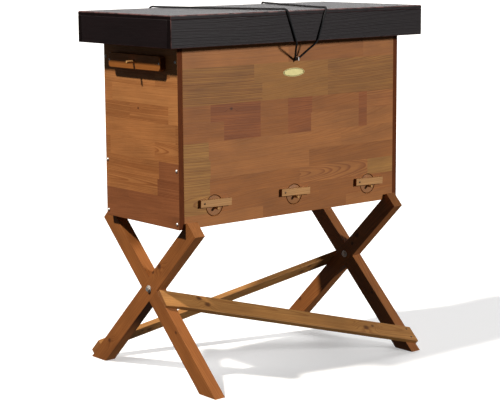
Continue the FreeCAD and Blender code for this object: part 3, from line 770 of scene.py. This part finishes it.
def chance_staves(seed: int, bands: Sequence[Sequence[Tone]] = (MIXED,)) -> tuple[Stave, ...]:
    """Lay a panel from whatever timber comes to hand, in staves as wide as the front wall's.

    Args:
        seed: picks the blocks.
        bands: the tones to pick from, for equal bands of the panel from the bottom up.

    Returns:
        The staves from the bottom up.
    """
    chance = random.Random(seed)
    staves = []
    for row, front in enumerate(FRONT_STAVES):
        tones = bands[row * len(bands) // len(FRONT_STAVES)]
        blocks, reach = [], -0.5 + chance.uniform(0.0, 0.3)
        while reach < 0.5:
            blocks.append(Block(reach, chance.choice(tones),
                                chance.choice((PLAIN, PLAIN, PLAIN, STRAIGHT, ARCHED, WAVY))))
            reach += chance.uniform(0.14, 0.42)
        blocks.append(Block(1.0, chance.choice(tones)))
        staves.append(Stave(front.top, tuple(blocks)))
    return tuple(staves)


def stain_faces(mesh: BMesh, faces: Iterable[BMFace], block: Block,
                middle: float, own: float) -> None:
    """Write one block's stain and growth on its faces.

    Args:
        mesh: the piece.
        faces: the block's faces.
        block: the block.
        middle: the stave's middle, across the grain from the piece's.
        own: a number of the block's own.
    """
    stain = mesh.faces.layers.float_color["stain"]
    growth = mesh.faces.layers.float_vector["growth"]
    red, green, blue, _ = linear(block.tone.value)
    for face in faces:
        face[stain] = (red, green, blue, block.growth.figure)
        face[growth] = (block.growth.depth, middle + block.growth.side, own)


def split(mesh: BMesh, faces: Sequence[BMFace], place: Vector, way: Vector) -> None:
    """Cut faces along a plane.

    Args:
        mesh: the piece.
        faces: the faces to cut.
        place: a point on the plane.
        way: the plane's normal.
    """
    edges = {edge for face in faces for edge in face.edges}
    verts = {vert for face in faces for vert in face.verts}
    bmesh.ops.bisect_plane(mesh, geom=[*faces, *edges, *verts], dist=1e-7, plane_co=place, plane_no=way)


@dataclass
class Timber:
    """One wooden piece: the design node's shape with eased edges and its own figure."""

    node: str
    body: str
    finish: Wood
    grain: Vector
    face: Vector
    tone: Tone
    growth: Growth = PLAIN
    seed: int = 1
    ease: float = 0.0012
    segments: int = 2
    staves: tuple[Stave, ...] = ()
    knots: tuple[Knot, ...] = ()
    outer: tuple[Vector, Vector] | None = None
    joint_wear: float = 0.0

    def build(self) -> Object:
        """Make the piece in place of its node.

        Returns:
            The piece.
        """
        low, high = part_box(self.node)
        centre = (low + high) / 2
        mesh = node_mesh(self.node)
        ease_edges(mesh, self.ease, self.segments)
        if self.outer:
            wear_outer_edges(mesh, *self.outer, joint=self.joint_wear)
        mesh.faces.layers.float_color.new("stain")
        mesh.faces.layers.float_vector.new("growth")
        chance = random.Random(self.seed)
        if self.staves:
            self.lay_staves(mesh, centre, chance)
        else:
            stain_faces(mesh, mesh.faces, Block(0.0, self.tone, self.growth), 0.0, chance.random())
        material = self.finish.build(self.node, self.grain, self.face, centre, self.knots)
        return show(mesh, self.node + "_timber", material, self.body, self.finish.slot, self.node)

    def lay_staves(self, mesh: BMesh, centre: Vector, chance: random.Random) -> None:
        """Cut the panel's faces into staves and blocks, and stain each block.

        Args:
            mesh: the piece.
            centre: its middle.
            chance: gives each block a number of its own.
        """
        run = Vector([abs(c) for c in self.grain])
        bottom = -math.inf
        for stave in self.staves:
            split(mesh, list(mesh.faces), Vector((0.0, 0.0, stave.top)), ALONG_Z)
            row = [f for f in mesh.faces if bottom < f.calc_center_median().z <= stave.top]
            middle = (max(bottom, WALL_FOOT) + min(stave.top, WALL_TOP)) / 2 - centre.z
            start = -math.inf
            for block in stave.blocks:
                rest = [f for f in row if f.is_valid and f.calc_center_median().dot(run) > start - 1]
                split(mesh, rest, run * block.end, run)
                row = [f for f in mesh.faces if bottom < f.calc_center_median().z <= stave.top]
                held = [f for f in row if start < f.calc_center_median().dot(run) <= block.end]
                stain_faces(mesh, held, block, middle, chance.random())
                start = block.end
            bottom = stave.top


# ------------------------------------------------------------------ sub-assemblies
@dataclass
class Stand:
    """Four legs halved in pairs, and two slanting rails."""

    leg_ease: float = 0.0018
    rail_ease: float = 0.002

    def build(self) -> None:
        """Make the legs and rails."""
        outward = {"left": -ALONG_X, "right": ALONG_X}
        to_front = Vector((0.0, -math.cos(LEG_ANGLE), math.sin(LEG_ANGLE)))
        to_back = Vector((0.0, math.cos(LEG_ANGLE), math.sin(LEG_ANGLE)))
        crossing_knots = (Knot(0.135, 0.004, 0.009), Knot(0.098, 0.010, 0.006), Knot(-0.24, -0.006, 0.007))
        for seed, side in enumerate(("left", "right"), start=12):
            Timber(f"{side}_front_top_leg", Body.STAND, FRAME, to_front, outward[side],
                   Tone.FRAME, Growth(0.03, 0.05, 0.7), seed, self.leg_ease, knots=crossing_knots).build()
            Timber(f"{side}_back_top_leg", Body.STAND, FRAME, to_back, outward[side],
                   Tone.FRAME, Growth(0.022, -0.03, 0.6), seed + 7, self.leg_ease,
                   knots=(Knot(-0.12, 0.0, 0.005),)).build()
        rail_knots = (Knot(-0.315, 0.010, 0.008), Knot(-0.290, -0.008, 0.009), Knot(0.255, 0.002, 0.009),
                      Knot(0.280, 0.012, 0.005))
        for name, sign, seed in (("front_rail", 1, 31), ("back_rail", -1, 37)):
            low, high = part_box(name)
            fall = (high.z - low.z) - LEG_DEPTH * math.sin(LEG_ANGLE)
            grain = Vector((sign * (high.x - low.x), -sign * fall / math.tan(LEG_ANGLE), -fall)).normalized()
            up = Vector((0.0, -sign * math.sin(LEG_ANGLE), math.cos(LEG_ANGLE)))
            face = (up - grain * up.dot(grain)).normalized()
            Timber(name, Body.STAND, RAIL, grain, face, Tone.RAIL, Growth(0.02, 0.012, 0.75), seed,
                   self.rail_ease, knots=rail_knots).build()


@dataclass
class HiveBox:
    """The walls, floor, bars, follower boards and carrying battens."""

    panel_ease: float = 0.001
    batten_ease: float = 0.002
    bar_ease: float = 0.0008
    peg_ease: float = 0.0004

    def build(self) -> None:
        """Make every board of the box."""
        walls = (("front_wall", ALONG_X, -ALONG_Y, FRONT_STAVES, (Knot(-0.235, 0.055, 0.005),)),
                 ("back_wall", -ALONG_X, ALONG_Y, chance_staves(8), (Knot(0.12, 0.03, 0.008),)),
                 ("left_end_panel", -ALONG_Y, -ALONG_X, chance_staves(23, END_BANDS),
                  (Knot(-0.01, 0.045, 0.004),)),
                 ("right_end_panel", ALONG_Y, ALONG_X, chance_staves(26, END_BANDS), ()))
        for seed, (node, grain, face, staves, knots) in enumerate(walls, start=5):
            Timber(node, Body.BOX, PANEL, grain, face, Tone.BROWN, seed=seed, ease=self.panel_ease,
                   staves=staves, knots=knots).build()
        for node, face in (("left_carry_batten", -ALONG_X), ("right_carry_batten", ALONG_X)):
            Timber(node, Body.BOX, PANEL, ALONG_Y, face, Tone.BROWN, STRAIGHT, 41,
                   ease=self.batten_ease, segments=3).build()
        for node, grain, seed in (("floor_board", ALONG_X, 51), ("left_follower_board", ALONG_Y, 52),
                                  ("right_follower_board", ALONG_Y, 53), ("top_bars", ALONG_Y, 54),
                                  ("follower_bars", ALONG_Y, 55)):
            Timber(node, Body.BOX, BARE, grain, ALONG_Z, Tone.BARE, STRAIGHT, seed,
                   ease=self.bar_ease).build()
        Timber("batten_pegs", Body.BOX, DOWEL, ALONG_X, ALONG_Z, Tone.PEG, seed=61,
               ease=self.peg_ease).build()


@dataclass
class Entrances:
    """Three plugs with their pegs, each under a turning latch bar."""

    def build(self) -> None:
        """Make plugs, pegs and bars."""
        across_plug = Vector((0.8, 0.0, 0.6))
        for number, side in enumerate(("left", "middle", "right")):
            Timber(f"{side}_plug", Body.BOX, PLUG, across_plug, -ALONG_Y, Tone.PLUG,
                   STRAIGHT, 71 + number, ease=0.0006).build()
            Timber(f"{side}_latch_bar", f"{side}_latch", PALE, ALONG_X, -ALONG_Y, Tone.PEG,
                   STRAIGHT, 81 + number, ease=0.0009).build()
        Timber("plug_pegs", Body.BOX, DOWEL, ALONG_Y, ALONG_Z, Tone.PEG, seed=91,
               ease=0.0004).build()


@dataclass
class Roof:
    """The telescoping roof: dark stained boards and the cleats inside."""

    ease: float = 0.0014
    joint_wear: float = 0.6

    def build(self) -> None:
        """Make the roof's boards and cleats."""
        boards = (("roof_top_board", ALONG_X, ALONG_Z), ("roof_front_board", ALONG_X, -ALONG_Y),
                  ("roof_back_board", ALONG_X, ALONG_Y), ("roof_left_board", ALONG_Y, -ALONG_X),
                  ("roof_right_board", ALONG_Y, ALONG_X), ("roof_front_cleat", ALONG_X, -ALONG_Y),
                  ("roof_back_cleat", ALONG_X, ALONG_Y))
        low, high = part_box("roof_top_board")
        low.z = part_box("roof_front_board")[0].z
        for seed, (node, grain, face) in enumerate(boards, start=101):
            Timber(node, Body.ROOF, DARK, grain, face, Tone.EBONY, Growth(0.03, 0.06, 0.6), seed,
                   ease=self.ease, outer=(low, high),
                   joint_wear=self.joint_wear * (node == "roof_top_board")).build()


@dataclass
class Fastenings:
    """Bolts, washers, nuts, screws, hook and eyes in bright zinc."""

    metal: Material = field(default_factory=ZINC.build)
    slot: str = "zinc_steel"
    head_zone: float = 0.006
    tip_zone: float = 0.004
    recess_long: float = 0.52
    recess_wide: float = 0.13
    shank: float = 0.0018
    shank_long: float = 0.004
    seat: float = 0.0003
    head_steps: int = 7

    def screw_head(self, head: float, dome: float) -> BMesh:
        """Model one domed head with a cross recess, its seat on Z = 0.

        Args:
            head: the head's diameter.
            dome: the head's height.

        Returns:
            The head with a short shank below it.
        """
        mesh = bmesh.new()
        radius = head / 2
        sphere = (radius * radius + dome * dome) / (2 * dome)
        full = math.asin(min(1.0, radius / sphere))
        rim = [(0.0, -self.shank_long), (self.shank, -self.shank_long), (self.shank, -self.seat),
               (radius * 0.96, -self.seat)]
        leans = [full * (1 - step / self.head_steps) for step in range(self.head_steps + 1)]
        arc = [(sphere * math.sin(lean), dome - sphere + sphere * math.cos(lean)) for lean in leans]
        previous = None
        edges = []
        for across, up in rim + arc:
            vert = mesh.verts.new((across, 0.0, up))
            if previous is not None:
                edges.append(mesh.edges.new((previous, vert)))
            previous = vert
        bmesh.ops.spin(mesh, geom=list(mesh.verts) + edges, cent=(0, 0, 0), axis=(0, 0, 1),
                       angle=math.tau, steps=28, use_merge=True)
        bmesh.ops.remove_doubles(mesh, verts=mesh.verts, dist=1e-6)
        bmesh.ops.recalc_face_normals(mesh, faces=mesh.faces)
        return self.cut_cross(mesh, head, dome)

    def cut_cross(self, mesh: BMesh, head: float, dome: float) -> BMesh:
        """Cut a cross recess into a head.

        Args:
            mesh: the head, freed here.
            head: the head's diameter.
            dome: the head's height.

        Returns:
            The cut head.
        """
        whole = link("head", settle(mesh, "head"))
        tool_mesh = bmesh.new()
        for angle in (0.0, math.pi / 2):
            size = Matrix.Diagonal((head * self.recess_long, head * self.recess_wide, dome * 1.2, 1.0))
            place = Matrix.Rotation(angle, 4, "Z") @ Matrix.Translation((0, 0, dome * 1.05)) @ size
            bmesh.ops.create_cube(tool_mesh, size=1.0, matrix=place)
        tool = link("cross", settle(tool_mesh, "cross"))
        modifier = whole.modifiers.new("recess", "BOOLEAN")
        modifier.object = tool
        modifier.operation = "DIFFERENCE"
        modifier.solver = "EXACT"
        modifier.use_self = True
        bpy.context.view_layer.update()
        cut = bpy.data.meshes.new_from_object(whole.evaluated_get(bpy.context.evaluated_depsgraph_get()))
        result = bmesh.new()
        result.from_mesh(cut)
        for item in (whole, tool):
            bpy.data.objects.remove(item)
        smooth_round(result)
        return result

    def stations(self, node: str) -> list[Matrix]:
        """Find where each screw of a node stands and which way its head looks.

        Args:
            node: the screws' node.

        Returns:
            A matrix for each screw, its Z along the head's axis and its origin at the head's top.
        """
        mesh = node_mesh(node)
        found = []
        for shell in islands(mesh):
            far = max(shell, key=lambda p: (p - shell[0]).length)
            other = max(shell, key=lambda p: (p - far).length)
            # The head has most of the points, so the axis runs towards the end where they crowd.
            crowd = sum((p - far).length < (p - other).length for p in shell)
            axis = (far - other if crowd > len(shell) / 2 else other - far).normalized()
            heights = [p.dot(axis) for p in shell]
            head = [p for p, up in zip(shell, heights) if up > max(heights) - self.head_zone]
            tail = [p for p, up in zip(shell, heights) if up < min(heights) + self.tip_zone]
            tip = sum(tail, Vector()) / len(tail)
            axis = (sum(head, Vector()) / len(head) - tip).normalized()
            top = tip + axis * (max(p.dot(axis) for p in shell) - tip.dot(axis))
            turn = axis.to_track_quat("Z", "Y").to_matrix().to_4x4()
            found.append(Matrix.Translation(top) @ turn)
        mesh.free()
        return found

    def screws(self, node: str, body: Body, metal: Material, head: float, dome: float, seed: int) -> None:
        """Replace a node of screws with heads that have a cross recess.

        Args:
            node: the screws' node.
            body: the body that they are driven into.
            metal: their finish.
            head: the head's diameter.
            dome: the head's height.
            seed: turns each recess its own way.
        """
        data = settle(self.screw_head(head, dome), node + "_pattern")
        joined = bmesh.new()
        chance = random.Random(seed)
        for station in self.stations(node):
            start = len(joined.verts)
            joined.from_mesh(data)
            joined.verts.ensure_lookup_table()
            spin = Matrix.Rotation(chance.uniform(0, math.pi / 2), 4, "Z")
            place = station @ Matrix.Translation((0, 0, -dome)) @ spin
            bmesh.ops.transform(joined, matrix=place, verts=joined.verts[start:])
        show(joined, node + "_heads", metal, body, self.slot, node)

    def build(self) -> None:
        """Make the screws, and dress the bolts, hook and eyes."""
        bronzed = BRONZED.build()
        self.screws("panel_screws", Body.BOX, self.metal, 0.0095, 0.0035, 1)
        self.screws("batten_screws", Body.BOX, self.metal, 0.0065, 0.0012, 2)
        self.screws("latch_screws", Body.BOX, bronzed, 0.0065, 0.0012, 3)
        self.screws("rail_screws", Body.STAND, bronzed, 0.0065, 0.0012, 4)
        for node, body in (("crossing_bolts", Body.STAND), ("bolt_nuts", Body.STAND),
                           ("bolt_washers", Body.STAND), ("front_hook", Body.BOX), ("back_eyes", Body.BOX)):
            mesh = node_mesh(node)
            if body == Body.STAND:
                ease_edges(mesh, 0.0004)
            else:
                smooth_round(mesh, 50.0)
            show(mesh, node + "_steel", self.metal, body, self.slot, node)


@dataclass
class Plate:
    """A plain oval enamelled plate with a darker line round its rim, held by two nails."""

    proud: float = 0.0008
    line: float = 0.0007
    line_inset: float = 0.0021
    slot: str = "plate_enamel"

    def build(self) -> None:
        """Make the plate, its line and its nails."""
        low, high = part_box("front_plate")
        centre, half = (low + high) / 2, (high - low) / 2
        upright = Matrix.Rotation(math.pi / 2, 4, "X")
        base = bmesh.new()
        place = Matrix.Translation((centre.x, high.y, centre.z)) @ upright
        bmesh.ops.create_circle(base, cap_ends=True, segments=96, radius=1.0,
                                matrix=place @ Matrix.Diagonal((half.x, half.z, 1.0, 1.0)))
        made = bmesh.ops.extrude_face_region(base, geom=list(base.faces))["geom"]
        verts = [item for item in made if isinstance(item, BMVert)]
        bmesh.ops.translate(base, vec=(0.0, -self.proud, 0.0), verts=verts)
        bmesh.ops.recalc_face_normals(base, faces=base.faces)
        ease_edges(base, 0.0003)
        show(base, "plate_field", CREAM.build(), Body.BOX, self.slot, "front_plate")
        oval = bmesh.new()
        inner = Matrix.Diagonal((half.x - self.line_inset, half.z - self.line_inset, 1.0, 1.0))
        front = Matrix.Translation((centre.x, high.y - self.proud, centre.z)) @ upright
        ring = bmesh.ops.create_circle(oval, segments=96, radius=1.0, matrix=front @ inner)["verts"]
        points = [vert.co.copy() for vert in ring]
        oval.free()
        rim = sweep(points + points[:2], self.line, sides=8)
        show(rim, "plate_line", OLIVE.build(), Body.BOX, self.slot)
        mesh = node_mesh("plate_nails")
        smooth_round(mesh)
        show(mesh, "plate_nail_heads", BRASS.build(), Body.BOX, "brass_nail", "plate_nails")


@dataclass
class Elastic:
    """The stretched cord: up from one eye, over the roof, round the hook and back."""

    diameter: float = 0.006
    length: float = 1.66
    knot_size: float = 0.0019
    knot_reach: float = 0.0062
    above_hook: float = 0.004
    below_roof: float = 0.006
    material: Material = field(default_factory=ELASTIC.build)

    def route(self) -> list[Vector]:
        """Give the strand's corners, with a point near each edge on the long runs.

        Returns:
            The control points from the left eye to the right eye.
        """
        points = [
            (-0.2633, 0.1894, 0.9103), (-0.2537, 0.2114, 0.9449), (-0.2462, 0.2304, 0.9706),
            (-0.2379, 0.2286, 1.0019), (-0.2283, 0.2286, 1.0367), (-0.2200, 0.2304, 1.0684),
            (-0.2106, 0.2001, 1.0666), (-0.0794, -0.2001, 1.0666), (-0.0700, -0.2304, 1.0684),
            (-0.0591, -0.2286, 1.0376), (-0.0454, -0.2286, 1.0007), (-0.0345, -0.2304, 0.9706),
            (-0.0196, -0.2092, 0.9496), (-0.0089, -0.1952, 0.9338), (0.0060, -0.1758, 0.9117),
            (0.0209, -0.1952, 0.9338), (0.0316, -0.2092, 0.9496), (0.0465, -0.2304, 0.9706),
            (0.0574, -0.2286, 1.0007), (0.0711, -0.2286, 1.0376), (0.0820, -0.2304, 1.0684),
            (0.0907, -0.1999, 1.0666), (0.2113, 0.1999, 1.0666), (0.2200, 0.2304, 1.0684),
            (0.2283, 0.2286, 1.0367), (0.2379, 0.2286, 1.0019), (0.2462, 0.2304, 0.9706),
            (0.2537, 0.2114, 0.9449), (0.2633, 0.1894, 0.9103)]
        return [Vector(point) for point in points]

    def centreline(self) -> list[Vector]:
        """Read the smooth line that the corners control.

        Returns:
            Points a few millimetres apart.
        """
        curve = bpy.data.curves.new("elastic_line", "CURVE")
        curve.dimensions = "3D"
        curve.resolution_u = 14
        spline = curve.splines.new("NURBS")
        corners = self.route()
        spline.points.add(len(corners) - 1)
        for point, corner in zip(spline.points, corners):
            point.co = (*corner, 1.0)
        spline.order_u = 3
        spline.use_endpoint_u = True
        line = bpy.data.objects.new("elastic_line", curve)
        data = bpy.data.meshes.new_from_object(line)
        points = [vert.co.copy() for vert in data.vertices]
        bpy.data.objects.remove(line)
        bpy.data.curves.remove(curve)
        bpy.data.meshes.remove(data)
        return points

    def knot(self, top: Vector, heading: Vector, name: str, *nodes: str) -> Object:
        """Tie an overhand knot below an eye.

        Args:
            top: where the cord enters it.
            heading: the cord's direction there.
            name: the piece's name.
            nodes: the design nodes that it stands in for.

        Returns:
            The knot.
        """
        turn = heading.to_track_quat("Z", "Y")
        centre = top + heading * self.knot_reach
        points = []
        for step in range(73):
            a = math.tau * step / 72
            flat = Vector((math.sin(a) + 2 * math.sin(2 * a), math.cos(a) - 2 * math.cos(2 * a),
                           -1.3 * math.sin(3 * a)))
            points.append(centre + turn @ (flat * self.knot_size))
        mesh = sweep(points, self.diameter * 0.42, sides=12)
        return show(mesh, name, self.material, Body.BOX, "elastic", *nodes)

    def build(self) -> None:
        """Make the cord and its knots."""
        points = self.centreline()
        measured = sum((b - a).length for a, b in zip(points, points[1:]))
        mesh = sweep(points, self.diameter / 2)
        cord = show(mesh, "elastic", self.material, None, "elastic", "elastic_cord")
        knots = [self.knot(points[0], (points[0] - points[1]).normalized(), "left_knot", "cord_knots"),
                 self.knot(points[-1], (points[-1] - points[-2]).normalized(), "right_knot")]
        log.info("elastic is %.3f m long", measured)
        tuple(points[0])
        [tuple(p) for p in points]
        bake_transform(cord)


# ------------------------------------------------------------------ studio
@dataclass
class Studio:
    """A pale floor, soft lights and the camera."""

    eye: Vector = field(default_factory=lambda: Vector((-2.9568, -3.5522, 1.2481)))
    yaw: float = 0.69039
    pitch: float = 0.16449
    roll: float = 0.00695
    lens: float = 110.65
    floor_half: float = 60.0

    def floor(self) -> None:
        """Lay a pale floor that throws no colour up at the hive."""
        mesh = bmesh.new()
        bmesh.ops.create_grid(mesh, x_segments=1, y_segments=1, size=self.floor_half)
        floor = link("floor", settle(mesh, "floor"))
        material, _, shader = new_material("pale_floor")
        shader.inputs["Base Color"].default_value = (0.78, 0.78, 0.78, 1.0)
        shader.inputs["Roughness"].default_value = 0.9
        shader.inputs["Specular IOR Level"].default_value = 0.1
        shader.inputs["Emission Color"].default_value = (1.0, 1.0, 1.0, 1.0)
        shader.inputs["Emission Strength"].default_value = 0.34
        floor.data.materials.append(material)
        floor.visible_diffuse = False
        floor.visible_glossy = False

    def sun(self, name: str, towards: Vector, strength: float, spread: float, colour: str) -> None:
        """Add one distant softbox.

        Args:
            name: the light's name.
            towards: the direction from the hive to the light.
            strength: its strength.
            spread: its width as seen from the hive, in degrees.
            colour: its sRGB hex colour.
        """
        lamp = bpy.data.lights.new(name, "SUN")
        lamp.energy = strength
        lamp.angle = math.radians(spread)
        lamp.color = linear(colour)[:3]
        link(name, lamp).rotation_euler = (-towards).to_track_quat("-Z", "Y").to_euler()

    def lights(self) -> None:
        """Light the end from high on the left, the entrance side from the right, and the rest softly."""
        self.sun("end_key", Vector((-1.0, 0.25, 1.5)), 4.4, 4.0, "#fff8ee")
        self.sun("front_fill", Vector((0.42, -1.0, 0.33)), 2.4, 9.0, "#ffffff")
        self.sun("back_fill", Vector((1.0, 1.15, 1.5)), 1.3, 30.0, "#ffffff")
        world = bpy.data.worlds.new("studio")
        world.use_nodes = True
        tree = world.node_tree
        background = tree.nodes["Background"]
        coords = add(tree, COORDS)
        height = add(tree, SPLIT, coords.outputs["Generated"])
        low = add(tree, RANGE, height.outputs[2], 0.18, 0.45, 1.0, 0.0, interpolation_type="SMOOTHSTEP")
        above = add(tree, RANGE, height.outputs[2], -0.02, 0.0)
        behind = add(tree, FACING, coords.outputs["Generated"], (0.64, 0.77, 0.0))
        side = add(tree, RANGE, behind.outputs["Value"], 0.45, 0.95, interpolation_type="SMOOTHSTEP")
        band = add(tree, TIMES, low, above)
        sheet = add(tree, TIMES, band, side)
        lit = add(tree, TIMES_PLUS, sheet, 1.3, 0.05)
        # The eye sees a plain white wall; only its light on the hive is shaped.
        seen = add(tree, "ShaderNodeLightPath")
        level = add(tree, GREATER, lit, seen.outputs["Is Camera Ray"])
        tree.links.new(level.outputs[0], background.inputs["Strength"])
        background.inputs["Color"].default_value = (1.0, 1.0, 1.0, 1.0)
        bpy.context.scene.world = world
        bpy.context.scene.view_settings.view_transform = "Standard"

    def camera(self) -> None:
        """Stand the camera in front of the left end."""
        turn = (Matrix.Rotation(-self.yaw, 4, "Z") @ Matrix.Rotation(math.pi / 2 - self.pitch, 4, "X")
                @ Matrix.Rotation(-self.roll, 4, "Z"))
        data = bpy.data.cameras.new("camera")
        data.lens = self.lens
        data.sensor_width = 36.0
        data.clip_start = 0.05
        data.clip_end = 100.0
        camera = link("camera", data)
        camera.matrix_world = Matrix.Translation(self.eye) @ turn
        bpy.context.scene.camera = camera

    def build(self) -> None:
        """Set up the studio."""
        self.floor()
        self.lights()
        self.camera()


def main() -> None:
    """Build the hive part by part."""
    Studio().build()
    Elastic().build()
    Stand().build()
    HiveBox().build()
    Entrances().build()
    Roof().build()
    Fastenings().build()
    Plate().build()


if __name__ == "__main__":
    main()
